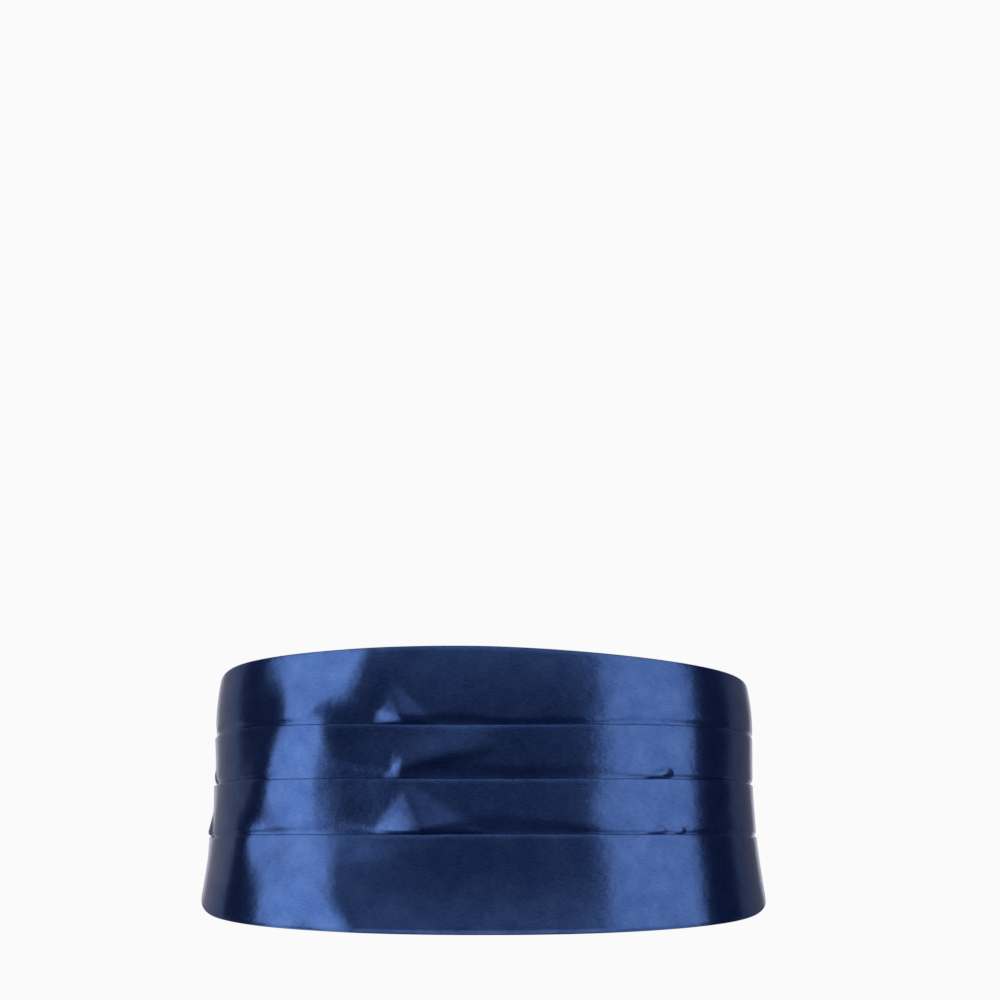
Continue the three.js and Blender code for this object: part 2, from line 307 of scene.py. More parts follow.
@dataclass(frozen=True)
class SatinFinish:
    """Polyester satin, woven with long floats that run round the waist.

    The floats mirror light sharply along themselves and spread it across, so a light shows as an
    upright band. The dyed yarn tints what it mirrors, and only a grazing look is near white.
    """

    name: str = "navy_polyester_satin_woven"
    yarn: str = "4f6ba2"
    shade: str = "35508a"
    metallic: float = 0.97
    roughness: float = 0.295
    roughness_swing: float = 0.03
    anisotropy: float = 0.85
    coat: float = 0.02
    coat_roughness: float = 0.4
    slub_length: float = 2.6  # mm of one uneven stretch of yarn
    slub_width: float = 0.7  # mm; real yarns are 0.1 mm, and are drawn this coarse to show
    slub_relief: float = 0.012  # mm
    cloud_size: float = 14.0  # mm of the soft mottling of pressed cloth
    cloud_relief: float = 0.2  # mm
    tint_range: tuple[float, float] = (0.7, 1.3)  # the two noises' sum, from shade to yarn

    def material(self) -> bpy.types.Material:
        """Makes the material.

        Returns:
            A material that reads the cloth's own map.
        """
        made, tree = blank_material(self.name)
        cloth = add_node(tree, "ShaderNodeUVMap", {"uv_map": CLOTH_UV}, {})
        slub_map = add_node(
            tree,
            "ShaderNodeMapping",
            {"Scale": (1000 / self.slub_length, 1000 / self.slub_width, 1)},
            {"Vector": cloth.outputs["UV"]},
        )
        slub = add_node(
            tree,
            "ShaderNodeTexNoise",
            {"Scale": 1.0, "Detail": 3.0, "Roughness": 0.6},
            {"Vector": slub_map.outputs["Vector"]},
        )
        cloud = add_node(
            tree,
            "ShaderNodeTexNoise",
            {"Scale": 1000 / self.cloud_size, "Detail": 4.0, "Roughness": 0.65},
            {"Vector": cloth.outputs["UV"]},
        )
        both = add_node(
            tree,
            "ShaderNodeMath",
            {"operation": "ADD"},
            {0: slub.outputs["Fac"], 1: cloud.outputs["Fac"]},
        )
        tint = add_node(
            tree,
            "ShaderNodeMapRange",
            {"From Min": self.tint_range[0], "From Max": self.tint_range[1]},
            {"Value": both.outputs["Value"]},
        )
        colour = add_node(
            tree,
            "ShaderNodeMix",
            {"data_type": "RGBA", MIX_A: linear(self.shade), MIX_B: linear(self.yarn)},
            {"Factor": tint.outputs["Result"]},
        )
        rough = add_node(
            tree,
            "ShaderNodeMapRange",
            {
                "From Min": NOISE_LOW,
                "From Max": NOISE_HIGH,
                "To Min": self.roughness - self.roughness_swing,
                "To Max": self.roughness + self.roughness_swing,
            },
            {"Value": slub.outputs["Fac"]},
        )
        dents = add_node(
            tree,
            "ShaderNodeBump",
            {"Strength": 1.0, "Distance": self.cloud_relief * MM},
            {"Height": cloud.outputs["Fac"]},
        )
        bump = add_node(
            tree,
            "ShaderNodeBump",
            {"Strength": 1.0, "Distance": self.slub_relief * MM},
            {"Height": slub.outputs["Fac"], "Normal": dents.outputs["Normal"]},
        )
        floats = add_node(tree, "ShaderNodeTangent", {"direction_type": "UV_MAP", "uv_map": CLOTH_UV}, {})
        shader = add_node(
            tree,
            "ShaderNodeBsdfPrincipled",
            {
                "Metallic": self.metallic,
                "Anisotropic": self.anisotropy,
                "Anisotropic Rotation": 0.25,
                "Coat Weight": self.coat,
                "Coat Roughness": self.coat_roughness,
                "IOR": 1.5,
            },
            {
                "Base Color": colour.outputs[MIX_RESULT],
                "Roughness": rough.outputs["Result"],
                "Normal": bump.outputs["Normal"],
                "Tangent": floats.outputs["Tangent"],
            },
        )
        add_node(tree, "ShaderNodeOutputMaterial", {}, {"Surface": shader.outputs["BSDF"]})
        return made


@dataclass(frozen=True)
class WebbingFinish:
    """Polyester webbing, woven with a rib across it: matt, with a fine shade between its ribs that is painted
    into its colour as well as made by their bump.
    """

    name: str = "navy_polyester_webbing_ribbed"
    yarn: str = "1f2c4d"
    # painted shade: the colour of the hollows between the ribs
    painted_hollow_shade: str = "121a30"
    rib: float = 1.2  # mm from rib to rib
    relief: float = 0.12  # mm
    fibre: float = 1.0  # mm of one uneven patch of fibre
    fibre_share: float = 0.3  # of the ribs' height
    waver: float = 0.3  # how unevenly the ribs run
    roughness: float = 0.62

    def material(self) -> bpy.types.Material:
        """Makes the material.

        Returns:
            A material that reads the webbing's own map.
        """
        made, tree = blank_material(self.name)
        cloth = add_node(tree, "ShaderNodeUVMap", {"uv_map": CLOTH_UV}, {})
        bands = math.pi / 20  # the texture's scale that gives one band to a metre
        ribs = add_node(
            tree,
            "ShaderNodeTexWave",
            {
                "wave_type": "BANDS",
                "bands_direction": "X",
                "Scale": 1000 / self.rib * bands,
                "Distortion": self.waver,
            },
            {"Vector": cloth.outputs["UV"]},
        )
        fibre = add_node(
            tree,
            "ShaderNodeTexNoise",
            {"Scale": 1000 / self.fibre, "Detail": 2.0},
            {"Vector": cloth.outputs["UV"]},
        )
        both = add_node(
            tree,
            "ShaderNodeMath",
            {"operation": "MULTIPLY_ADD", 1: self.fibre_share},
            {0: fibre.outputs["Fac"], 2: ribs.outputs["Fac"]},
        )
        # The ribs' wave mixes the colour towards the painted shade in each hollow between the ribs.
        colour = add_node(
            tree,
            "ShaderNodeMix",
            {"data_type": "RGBA", MIX_A: linear(self.painted_hollow_shade), MIX_B: linear(self.yarn)},
            {"Factor": ribs.outputs["Fac"]},
        )
        bump = add_node(
            tree,
            "ShaderNodeBump",
            {"Strength": 1.0, "Distance": self.relief * MM},
            {"Height": both.outputs["Value"]},
        )
        shader = add_node(
            tree,
            "ShaderNodeBsdfPrincipled",
            {"Roughness": self.roughness, "Sheen Weight": 0.15, "IOR": 1.5},
            {"Base Color": colour.outputs[MIX_RESULT], "Normal": bump.outputs["Normal"]},
        )
        add_node(tree, "ShaderNodeOutputMaterial", {}, {"Surface": shader.outputs["BSDF"]})
        return made


@dataclass(frozen=True)
class NickelFinish:
    """Stamped steel, nickel plated and tumbled: a warm grey mirror, softened by fine handling marks."""

    name: str = "steel_nickel_plated_tumbled"
    metal: str = "b9b5ae"
    mark: float = 0.8  # mm of one mark
    smoothest: float = 0.22
    roughest: float = 0.32

    def material(self) -> bpy.types.Material:
        """Makes the material.

        Returns:
            A material that reads Object coordinates.
        """
        made, tree = blank_material(self.name)
        where = add_node(tree, "ShaderNodeTexCoord", {}, {})
        marks = add_node(
            tree,
            "ShaderNodeTexNoise",
            {"Scale": 1000 / self.mark, "Detail": 6.0, "Roughness": 0.7},
            {"Vector": where.outputs["Object"]},
        )
        rough = add_node(
            tree,
            "ShaderNodeMapRange",
            {
                "From Min": NOISE_LOW,
                "From Max": NOISE_HIGH,
                "To Min": self.smoothest,
                "To Max": self.roughest,
            },
            {"Value": marks.outputs["Fac"]},
        )
        shader = add_node(
            tree,
            "ShaderNodeBsdfPrincipled",
            {"Base Color": linear(self.metal), "Metallic": 1.0},
            {"Roughness": rough.outputs["Result"]},
        )
        add_node(tree, "ShaderNodeOutputMaterial", {}, {"Surface": shader.outputs["BSDF"]})
        return made


@dataclass(frozen=True)
class ThreadFinish:
    """Spun polyester sewing thread: matt and a little fuzzy, so that each stitch stays dark."""

    name: str = "navy_polyester_thread_spun"
    yarn: str = "18233f"
    twist: float = 0.5  # mm from strand to strand
    relief: float = 0.1  # mm
    roughness: float = 0.7

    def material(self) -> bpy.types.Material:
        """Makes the material.

        Returns:
            A material that reads Object coordinates.
        """
        made, tree = blank_material(self.name)
        where = add_node(tree, "ShaderNodeTexCoord", {}, {})
        strands = add_node(
            tree,
            "ShaderNodeTexNoise",
            {"Scale": 1000 / self.twist, "Detail": 2.0},
            {"Vector": where.outputs["Object"]},
        )
        bump = add_node(
            tree,
            "ShaderNodeBump",
            {"Strength": 0.6, "Distance": self.relief * MM},
            {"Height": strands.outputs["Fac"]},
        )
        shader = add_node(
            tree,
            "ShaderNodeBsdfPrincipled",
            {"Base Color": linear(self.yarn), "Roughness": self.roughness, "Sheen Weight": 0.2},
            {"Normal": bump.outputs["Normal"]},
        )
        add_node(tree, "ShaderNodeOutputMaterial", {}, {"Surface": shader.outputs["BSDF"]})
        return made


@dataclass(frozen=True)
class Pleat:
    """One pleat's upper edge, as shares of the panel's height from its top.

    The four shares are at the centre front, the front, the flank and the panel's end.
    """

    centre: float
    front: float
    flank: float
    end: float


@dataclass(frozen=True)
class EdgeDraw:
    """A place where a cut edge draws in towards the panel's middle.

    Side is 1 for the upper edge and -1 for the lower, at and spread are shares of half the
    panel's length, and draw is a share of half its height.
    """

    side: int
    at: float
    spread: float
    draw: float


@dataclass(frozen=True)
class Gape:
    """A place where a pleat's edge has sprung open.

    At and spread are shares of half the panel's length, and open is in millimetres.
    """

    pleat: int
    at: float
    spread: float
    open: float


@dataclass(frozen=True)
class Swell:
    """A soft swell or dent of the whole cloth.

    At and spread are millimetres along from the centre front, level and tall are heights, and out
    is how far it stands out. Slant leans it: how far it moves along for each millimetre up.
    """

    at: float
    level: float
    spread: float
    tall: float
    out: float
    slant: float = 0.0


@dataclass(frozen=True)
class Pucker:
    """A small pucker of a band: a low pyramid that stands on the edge of the pleat below it.

    At and spread are millimetres along from the centre front, tall is its height above the
    pleat's edge, out is how far it stands out, slant moves it along for each millimetre up, and
    curve rounds its top.
    """

    pleat: int
    at: float
    spread: float
    tall: float
    out: float
    slant: float = 0.0
    curve: float = 1.0


@dataclass(frozen=True)
class Crease:
    """A crease of a band: the cloth over a line stands out, with its sharp side below.

    Start and end are the line's two ends, as places along and heights above the edge of the pleat
    below the band. Out is how far the cloth stands out, drop is how tall its sharp side is, and
    reach is how far up it eases back. All are in millimetres.
    """

    pleat: int
    start: tuple[float, float]
    end: tuple[float, float]
    out: float
    drop: float
    reach: float


@dataclass(frozen=True)
class Slack:
    """A stretch where a band comes in sooner towards the edge of the pleat below it.

    At and spread are millimetres along, and sooner is a share of the band's height.
    """

    pleat: int
    at: float
    spread: float
    sooner: float


@dataclass(frozen=True)
class PleatedPanel:
    """The pleated panel: one satin cloth, folded down its height and carried round the waist."""

    waist: Waist
    cloth: float = 0.42
    layer_gap: float = 0.12
    base: float = 2.07  # how far the panel's inner side lies from the waist
    length: float = 620.0
    centre_height: float = 144.0
    end_height: float = 60.0
    top_taper: float = 1.8
    bottom_taper: float = 2.3
    top_lean: float = 2.2  # how far the upper edge drops at the right and rises at the left
    top_tuck: float = 2.1  # how far the upper edge draws in towards the waist
    tuck_end: float = 0.9  # share of the first band's height where that ends
    underlap: float = 14.0
    hem: float = 11.0
    cut_spare: float = 0.03  # share of the length that swells and hips take up
    band_bow: float = 0.1
    fall_start: float = 0.89  # shares of a band's height between which it comes in
    fall_end: float = 0.98
    fall_range: tuple[float, float] = (0.3, 0.93)
    row_crowding: float = 1.3
    ridge_round: float = 0.01
    foot_round: float = 0.004
    foot_end: float = 1.3  # how far above a pleat's edge a pucker ends
    knots: tuple[float, ...] = (-310, -205, -192, -166, -128, -20, 75, 112, 205, 310)
    columns: tuple[int, ...] = (22, 6, 22, 12, 112, 36, 38, 42, 24)
    face_rows: tuple[int, ...] = (24, 18, 18, 22)
    places: tuple[float, ...] = (0.0, 0.4, 0.6, 1.0)  # of a pleat's four shares
    pleats: tuple[Pleat, ...] = (
        Pleat(0.274, 0.246, 0.256, 0.29),
        Pleat(0.462, 0.449, 0.466, 0.49),
        Pleat(0.653, 0.66, 0.696, 0.69),
    )
    edge_draws: tuple[EdgeDraw, ...] = (
        EdgeDraw(1, -0.68, 0.13, 0.11),
        EdgeDraw(1, 0.68, 0.13, 0.055),
        EdgeDraw(-1, -0.68, 0.13, 0.125),
        EdgeDraw(-1, 0.68, 0.13, 0.1),
    )
    gapes: tuple[Gape, ...] = (
        Gape(0, -0.585, 0.03, 0.5),
        Gape(1, -0.59, 0.035, 0.7),
        Gape(2, -0.6, 0.035, 0.8),
        Gape(1, 0.43, 0.05, 0.5),
    )
    swells: tuple[Swell, ...] = (
        Swell(-70, 44, 19, 60, 2.6, 0.6),
        Swell(-89, 37, 17, 15, 2.6, -0.42),
        Swell(-78, -68, 13, 10, -2.1, -0.6),
        Swell(-115, 5, 13, 57, 1.45, 0.39),
        Swell(-75, -21, 36, 11, -2.6, 0.6),
        Swell(-54, -17, 25, 70, -2.6, -0.28),
        Swell(-112, -24, 16, 15, -2.35, -0.49),
        Swell(-60, -37, 55, 70, 2.6, 0.3),
        Swell(0, -51, 90, 21, -1.2),
        Swell(-66, 14, 14, 9, 0.5),
        Swell(50, -12, 10, 13, 0.35),
        Swell(186, 22, 37, 50, 0.8),
    )
    puckers: tuple[Pucker, ...] = (
        Pucker(0, -39, 17, 22, 2.7, -0.25),
        Pucker(1, -41, 10, 12, 1.0, 0.1),
        Pucker(2, -26, 29, 27, 3.2, -0.45),
        Pucker(1, 88, 9, 6.8, 1.85, 1.0, 2.0),
        Pucker(2, 86, 7, 5, 1.5, 0.9, 2.0),
        Pucker(2, 99, 4.2, 4, 0.85, 0.6, 2.0),
        Pucker(1, -175, 7, 10, 1.5),
        Pucker(2, -176, 9, 15, 2.4),
    )
    creases: tuple[Crease, ...] = (
        Crease(1, (-46, 5), (8, 17), 1.6, 4.0, 10.0),
    )
    slacks: tuple[Slack, ...] = (
        Slack(0, -182, 7, 0.25),
        Slack(1, -184, 8, 0.15),
        Slack(2, -186, 8, 0.15),
        Slack(0, -72, 16, 0.4),
        Slack(1, -82, 30, 0.3),
        Slack(1, -12, 22, 0.35),
        Slack(1, 35, 20, 0.2),
        Slack(2, -72, 14, 0.15),
        Slack(2, 8, 30, 0.25),
    )
    slack_waver: float = 0.04
    wavers: tuple[tuple[float, float, float], ...] = (
        (1.0, 19.0, 1.7),
        (0.6, 7.3, 2.9),
    )  # each sine's share, its millimetres to a radian, and its turn from pleat to pleat

    @property
    def half(self) -> float:
        """Half the panel's length."""
        return self.length / 2

    @property
    def bend(self) -> float:
        """The radius of a fold, to the middle of the cloth."""
        return (self.cloth + self.layer_gap) / 2

    @property
    def layers(self) -> tuple[float, float, float]:
        """The middles of a pleat's inner, middle and outer layers, as distances outwards."""
        inner = self.base + self.cloth / 2
        return inner, inner + 2 * self.bend, inner + 4 * self.bend

    def stations(self) -> np.ndarray:
        """The columns' places along: even from knot to knot, and close where the cloth is dented."""
        counts = np.cumsum([0, *self.columns])
        return np.interp(np.arange(counts[-1] + 1), counts, self.knots)

    def edge(self, along: np.ndarray, side: int) -> np.ndarray:
        """The height of the upper edge (side 1) or the lower edge (side -1), before it draws in.

        Half the panel's height falls from the centre's to the end's by a power of the length.

        Args:
            along: Places along.
            side: 1 or -1.

        Returns:
            The edge's height at each place.
        """
        far = np.abs(along) / self.half
        taper = far ** (self.top_taper if side > 0 else self.bottom_taper)
        return side * mix(self.centre_height, self.end_height, taper) / 2

    def draw_in(self, along: np.ndarray, side: int) -> np.ndarray:
        """How far the upper edge (side 1) or the lower edge (side -1) draws in: a sum of humps.

        Args:
            along: Places along.
            side: 1 or -1.

        Returns:
            The distance at each place.
        """
        total = np.zeros_like(along)
        for row in self.edge_draws:
            if row.side == side:
                total += row.draw * self.centre_height / 2 * hump(along / self.half, row.at, row.spread)
        return total

    def share_of(self, pleat: Pleat, along: np.ndarray) -> np.ndarray:
        """A pleat's share of the height: a cubic curve through its four shares.

        Args:
            pleat: The pleat.
            along: Places along.

        Returns:
            The share at each place.
        """
        x = np.array(self.places)
        y = np.array([pleat.centre, pleat.front, pleat.flank, pleat.end])
        last = (y[-1] - y[-2]) / (x[-1] - x[-2])
        slope = np.concatenate([[0], (y[2:] - y[:-2]) / (x[2:] - x[:-2]), [last]])
        at = np.abs(along) / self.half
        i = np.clip(np.searchsorted(x, at) - 1, 0, len(x) - 2)
        span = x[i + 1] - x[i]
        t = (at - x[i]) / span
        rise = y[i] + (y[i + 1] - y[i]) * t * t * (3 - 2 * t)
        return rise + span * t * (1 - t) * (slope[i] * (1 - t) - slope[i + 1] * t)

    def moved(self, along: np.ndarray, height: np.ndarray) -> np.ndarray:
        """How far the whole cloth is swelled out: the sum of its swells, each a product of two humps.

        Args:
            along: Places along.
            height: Their heights.

        Returns:
            The distance outwards at each place.
        """
        total = np.zeros(np.broadcast(along, height).shape)
        for row in self.swells:
            centre = row.at + row.slant * (height - row.level)
            total += row.out * hump(along - centre, 0, row.spread) * hump(height, row.level, row.tall)
        return total

    def puckered(self, pleat: int, along: np.ndarray, above: np.ndarray) -> np.ndarray:
        """How far the band above a pleat is puckered out.

        Each pucker is a pyramid, out * (1 - |along| / spread - (above / tall)^curve), with its
        ridge and its foot rounded by a root, and it ends just above the pleat's edge.

        Args:
            pleat: The pleat that the band ends on.
            along: Places along.
            above: Heights above the pleat's edge.

        Returns:
            The distance outwards at each place.
        """
        total = np.zeros(np.broadcast(along, above).shape)
        for row in self.puckers:
            if row.pleat == pleat:
                beside = (along - row.at - row.slant * above) / row.spread
                level = 1 - np.sqrt(beside**2 + self.ridge_round) - (above / row.tall) ** row.curve
                rounded = (level + np.sqrt(level**2 + self.foot_round)) / 2
                total += row.out * rounded * ease(0, self.foot_end, above)
        return total

    def creased(self, pleat: int, along: np.ndarray, above: np.ndarray) -> np.ndarray:
        """How far the band above a pleat stands out over its creases.

        Over a crease's line the cloth stands out by an ease over its drop, and comes back by a
        hump over its reach. Along the line it grows and fades by half a sine wave.

        Args:
            pleat: The pleat that the band ends on.
            along: Places along.
            above: Heights above the pleat's edge.

        Returns:
            The distance outwards at each place.
        """
        total = np.zeros(np.broadcast(along, above).shape)
        for row in self.creases:
            if row.pleat == pleat:
                share = (along - row.start[0]) / (row.end[0] - row.start[0])
                over = above - mix(row.start[1], row.end[1], share)
                grown = np.sin(np.pi * np.clip(share, 0, 1))
                total += row.out * grown * ease(-row.drop, 0, over) * hump(np.maximum(over, 0), 0, row.reach)
        return total

    def fall_from(self, pleat: int, along: np.ndarray) -> np.ndarray:
        """The share of its height from which the band above a pleat comes in.

        It wavers with two sines along, and is less by a hump at each slack stretch.

        Args:
            pleat: The pleat that the band ends on.
            along: Places along.

        Returns:
            The share at each place.
        """
        waver = sum(share * np.sin(along / run + turn * pleat) for share, run, turn in self.wavers)
        total = self.fall_start + self.slack_waver * waver
        for row in self.slacks:
            if row.pleat == pleat:
                total = total - row.sooner * hump(along, row.at, row.spread)
        return np.clip(total, *self.fall_range)

    def opened(self, pleat: int, along: np.ndarray, share: np.ndarray | float) -> np.ndarray:
        """How far a pleat stands open: a sum of humps, times the share of the way up.

        Args:
            pleat: The pleat.
            along: Places along.
            share: The share of the way from the pleat's foot up to its edge.

        Returns:
            The distance outwards at each place.
        """
        total = np.zeros_like(along)
        for row in self.gapes:
            if row.pleat == pleat:
                total += row.open * hump(along / self.half, row.at, row.spread)
        return total * np.clip(share, 0, 1)

    def section(self) -> tuple[np.ndarray, np.ndarray, np.ndarray]:
        """The cloth's middle surface, as a folded line down the panel at every station.

        Each band's face runs down from a folded edge, comes in towards the waist, and goes on
        behind the next pleat to that pleat's foot. There it turns up, and at the pleat's edge it
        turns out and down again. Turns are half circles.

        Returns:
            Places along, out and height, each as rows by columns.
        """
        along = self.stations()
        inner, middle, outer = self.layers
        roll = self.bend + self.cloth / 2
        top = self.edge(along, 1) - self.top_lean * np.sin(np.pi * along / self.half) - self.draw_in(along, 1)
        bottom = self.edge(along, -1) + self.draw_in(along, -1)
        height = self.edge(along, 1) - self.edge(along, -1)
        edges = [self.edge(along, 1) - height * self.share_of(p, along) for p in self.pleats]
        feet = [edge - self.underlap * height / self.centre_height for edge in edges]
        outs: list[np.ndarray] = []
        heights: list[np.ndarray] = []

        def add(out: np.ndarray | float, level: np.ndarray) -> None:
            """Adds rows of the line.

            Args:
                out: Their distances outwards.
                level: Their heights.
            """
            out, level = np.broadcast_arrays(out, level)
            outs.append(out)
            heights.append(level)

        def turn(out: np.ndarray | float, level: np.ndarray, start: float, end: float, rows: int) -> None:
            """Adds a turn: rows on a circle, out + bend * cos and level + bend * sin."""
            angle = np.pi * np.linspace(start, end, rows)[:, None]
            add(out + self.bend * np.cos(angle), level + self.bend * np.sin(angle))

        lip = outer - self.top_tuck
        rows = np.linspace(0, 1, 4)[:, None]
        add(lip - 2 * self.bend, top - roll - self.hem * (1 - rows[:-1]))
        turn(lip - self.bend, top - roll, 1, 0, 6)
        for band, count in enumerate(self.face_rows):
            last = band == len(self.pleats)
            start = top - roll if band == 0 else edges[band - 1] - roll
            end = bottom + roll if last else edges[band]
            cut = 1 - (1 - np.linspace(0, 1, count)[:, None]) ** (1.0 if last else self.row_crowding)
            level = mix(start, end, cut)
            fallen = 0 if last else ease(self.fall_from(band, along), self.fall_end, cut)
            out = mix(outer, inner, fallen) + self.band_bow * np.sin(np.pi * cut)
            if band == 0:
                out = out - self.top_tuck * np.clip(1 - cut / self.tuck_end, 0, 1) ** 2
            else:
                foot = feet[band - 1]
                out = out + self.opened(band - 1, along, (level - foot) / (edges[band - 1] - foot))
            if not last:
                above = level - edges[band]
                out = out + self.puckered(band, along, above) + self.creased(band, along, above)
            add(out[1:], level[1:])
            if last:
                continue
            add(inner, mix(edges[band], feet[band], rows[1:-1]))
            turn(inner + self.bend, feet[band], 1, 2, 5)
            up = rows[1:-1]
            add(middle + self.opened(band, along, up), mix(feet[band], edges[band] - roll, up))
            turn(middle + self.bend + self.opened(band, along, 1.0), edges[band] - roll, 1, 0, 7)
        turn(outer - self.bend, bottom + roll, 0, -1, 6)
        add(outer - 2 * self.bend, bottom + roll + self.hem * rows[1:])
        out, level = np.concatenate(outs), np.concatenate(heights)
        grid = np.broadcast_to(along, out.shape)
        return grid, out + self.moved(grid, level), level

    def build(self, face: SatinFinish, inside: SatinFinish) -> bpy.types.Object:
        """Makes the panel and gives it its cloth's thickness.

        Args:
            face: The satin's right side.
            inside: The satin's wrong side.

        Returns:
            The panel.
        """
        along, out, height = self.section()
        points = self.waist.place(along, out, height)
        middle = along.shape[1] // 2
        step = np.hypot(np.diff(out[:, middle]), np.diff(height[:, middle]))
        down = np.concatenate([[0], np.cumsum(step)])
        uv = np.stack([along, np.broadcast_to(down[:, None], along.shape)], -1) * MM
        made = surface("pleated_satin_panel", points, uv)
        thicken(made, self.cloth, 1)
        dress(made, "satin", face.material(), inside.material())
        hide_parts("pleated_panel")
        return made


@dataclass(frozen=True)
class Stitches:
    """Rows of lockstitch: each stitch is a short capsule that lies on the cloth."""

    length: float = 2.2
    space: float = 0.8
    radius: float = 0.22
    steps: int = 7
    sides: int = 6

    def build(self, name: str, waist: Waist, lines: list[np.ndarray]) -> bpy.types.Object:
        """Makes one mesh of all the stitches.

        A stitch is a tube of six sides whose radius follows a half ellipse along its length.

        Args:
            name: The piece's name.
            waist: The surface that places are measured from.
            lines: Each line's two end places (along, out, height).

        Returns:
            The object, linked to the scene.
        """
        centres: list[np.ndarray] = []
        ways: list[np.ndarray] = []
        for start, end in lines:
            reach = np.linalg.norm(end - start)
            count = max(1, int(reach // (self.length + self.space)))
            at = (np.arange(count)[:, None] + 0.5) / count
            centres.append(mix(start, end, at))
            ways.append(np.repeat((end - start)[None] / reach, count, axis=0))
        centre, way = np.concatenate(centres), np.concatenate(ways)
        t = np.linspace(-1, 1, self.steps)
        lift = np.array([0.0, 1.0, 0.0])
        beside = np.cross(way, lift)
        turn = np.linspace(0, 2 * math.pi, self.sides + 1)[:-1]
        size = self.radius * np.sqrt(np.maximum(0, 1 - t**4))
        ring = (
            centre[:, None, None]
            + way[:, None, None] * (t * self.length / 2)[None, :, None, None]
            + lift * (size[:, None] * np.sin(turn))[None, :, :, None]
            + beside[:, None, None] * (size[:, None] * np.cos(turn))[None, :, :, None]
        )
        points = waist.place(ring[..., 0], ring[..., 1], ring[..., 2])
        count, steps, sides = points.shape[:3]
        index = np.arange(count * steps * sides).reshape(count, steps, sides)
        nxt = np.roll(index, -1, axis=2)
        quads = np.stack([index[:, :-1], nxt[:, :-1], nxt[:, 1:], index[:, 1:]], -1).reshape(-1, 4)
        mesh = bpy.data.meshes.new(name)
        mesh.from_pydata(points.reshape(-1, 3), [], quads)
        with reworked(mesh) as work:
            bmesh.ops.remove_doubles(work, verts=work.verts, dist=1e-7)
        mesh.polygons.foreach_set("use_smooth", np.ones(len(mesh.polygons), dtype=bool))
        return linked(name, mesh)


@dataclass(frozen=True)
class EndBinding:
    """The satin binding folded round one end of the panel, sewn through all its layers."""

    panel: PleatedPanel
    side: Side
    cloth: float = 0.7
    width: float = 13.0
    overhang: float = 1.0
    turn_in: float = 4.0
    clearance: float = 0.12
    corner: float = 1.2
    seam: float = 2.0  # from the binding's mouth to its stitches
    seam_end: float = 1.5  # from the binding's edges to its stitches
    rows: int = 25

    def profile(self) -> tuple[np.ndarray, np.ndarray]:
        """The binding's section, as places along and out.

        It runs from a turned-in hem at the inner mouth to the panel's end, with a quarter circle
        for a corner, and back as that line's mirror image to the outer mouth and its hem.

        Returns:
            Places along and out.
        """
        panel = self.panel
        inner, _, outer = panel.layers
        reach = panel.cloth / 2 + self.clearance + self.cloth / 2
        low = inner - reach - self.cloth
        high = outer + panel.band_bow + reach + self.cloth
        mouth = panel.half - self.width
        end = panel.half + self.clearance + self.cloth / 2
        corner, fold = self.corner, self.cloth / 2
        quarter = np.linspace(0, math.pi / 2, 5)
        curl = np.linspace(0, math.pi, 6)[1:-1]
        along = np.concatenate(
            [
                [mouth + self.turn_in, mouth + self.cloth],
                mouth + fold * (1 - np.sin(curl)),
                np.linspace(mouth + self.cloth, end - corner, 5),
                end - corner + corner * np.sin(quarter[1:]),
            ]
        )
        out = np.concatenate(
            [
                [low + self.cloth, low + self.cloth],
                low + fold * (1 + np.cos(curl)),
                np.full(5, low),
                low + corner * (1 - np.cos(quarter[1:])),
            ]
        )
        return np.concatenate([along, along[::-1]]), np.concatenate([out, low + high - out[::-1]])

    def build(self, satin: SatinFinish, thread: ThreadFinish) -> list[bpy.types.Object]:
        """Makes the binding and its stitches.

        Args:
            satin: The binding's cloth.
            thread: The thread that it is sewn with.

        Returns:
            The binding and its stitches.
        """
        side = self.side.value
        name = self.side.name.lower()
        along, out = self.profile()
        half_height = self.panel.end_height / 2 + self.overhang
        height = np.linspace(half_height, -half_height, self.rows)
        grid = np.meshgrid(along * side, height, indexing="ij")
        levels = np.broadcast_to(out[:, None], grid[0].shape)
        points = self.panel.waist.place(grid[0], levels, grid[1])
        step = np.hypot(np.diff(along), np.diff(out))
        run = np.concatenate([[0], np.cumsum(step)])
        uv = np.stack([np.broadcast_to(run[:, None], levels.shape), grid[1]], -1) * MM
        if side < 0:
            points, uv = points[::-1], uv[::-1]
        made = surface(f"end_binding_{name}_satin", points, uv)
        thicken(made, self.cloth)
        dress(made, "binding_satin", satin.material())
        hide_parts(f"end_binding_{name}")
        seam = side * (self.panel.half - self.width + self.seam)
        face = float(out.max()) + self.cloth / 2
        reach = half_height - self.seam_end
        line = np.array([[seam, face, reach], [seam, face, -reach]])
        sewn = Stitches().build(f"end_binding_{name}_stitches", self.panel.waist, [line])
        dress(sewn, "binding_satin", thread.material())
        return [made, sewn]


